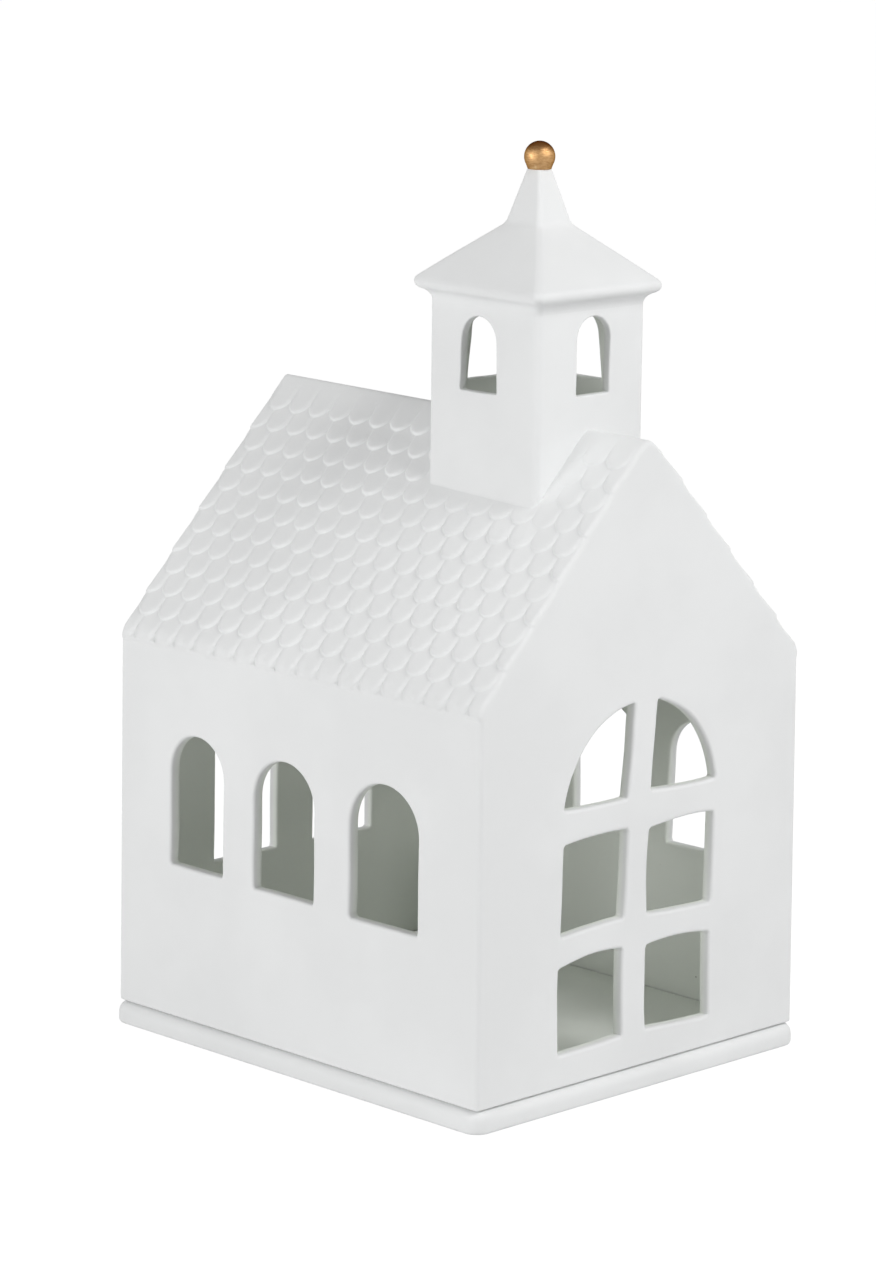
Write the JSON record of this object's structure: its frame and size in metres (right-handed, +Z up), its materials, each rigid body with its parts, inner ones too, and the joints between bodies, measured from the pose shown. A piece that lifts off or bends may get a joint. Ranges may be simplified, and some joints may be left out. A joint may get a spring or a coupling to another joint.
{
  "type": "ceramic village house tealight holder",
  "caption": "White porcelain church-shaped village house with arched windows, a fish-scale roof and a gold-tipped tower, which lifts off its base plate over a tealight.",
  "frame": {"origin": "centre of the base plate's underside", "axes": "+Z up, the gable with the tall window faces -Y, +X to the right seen from that gable"},
  "size_m": [0.114, 0.131, 0.2267],
  "materials": {
    "bisque": "matte",
    "gilding": "satin",
    "cup_metal": "satin",
    "wax": "satin",
    "wick": "matte"
  },
  "bodies": {
    "plate": {"base_plate": "bisque"},
    "house": {"house_shell": "bisque", "bell_tower": "bisque", "tower_cap": "bisque", "finial_ball": "gilding"},
    "tealight": {"tealight_cup": "cup_metal", "tealight_wax": "wax", "wick_sustainer": "cup_metal", "tealight_wick": "wick"}
  },
  "joints": [
    {"name": "house_lift", "type": "slide", "parent": "plate", "child": "house", "axis": [0, 0, 1], "range_m": [0, 0.12]},
    {"name": "tealight_lift", "type": "slide", "parent": "plate", "child": "tealight", "axis": [0, 0, 1], "range_m": [0, 0.04]}
  ]
}
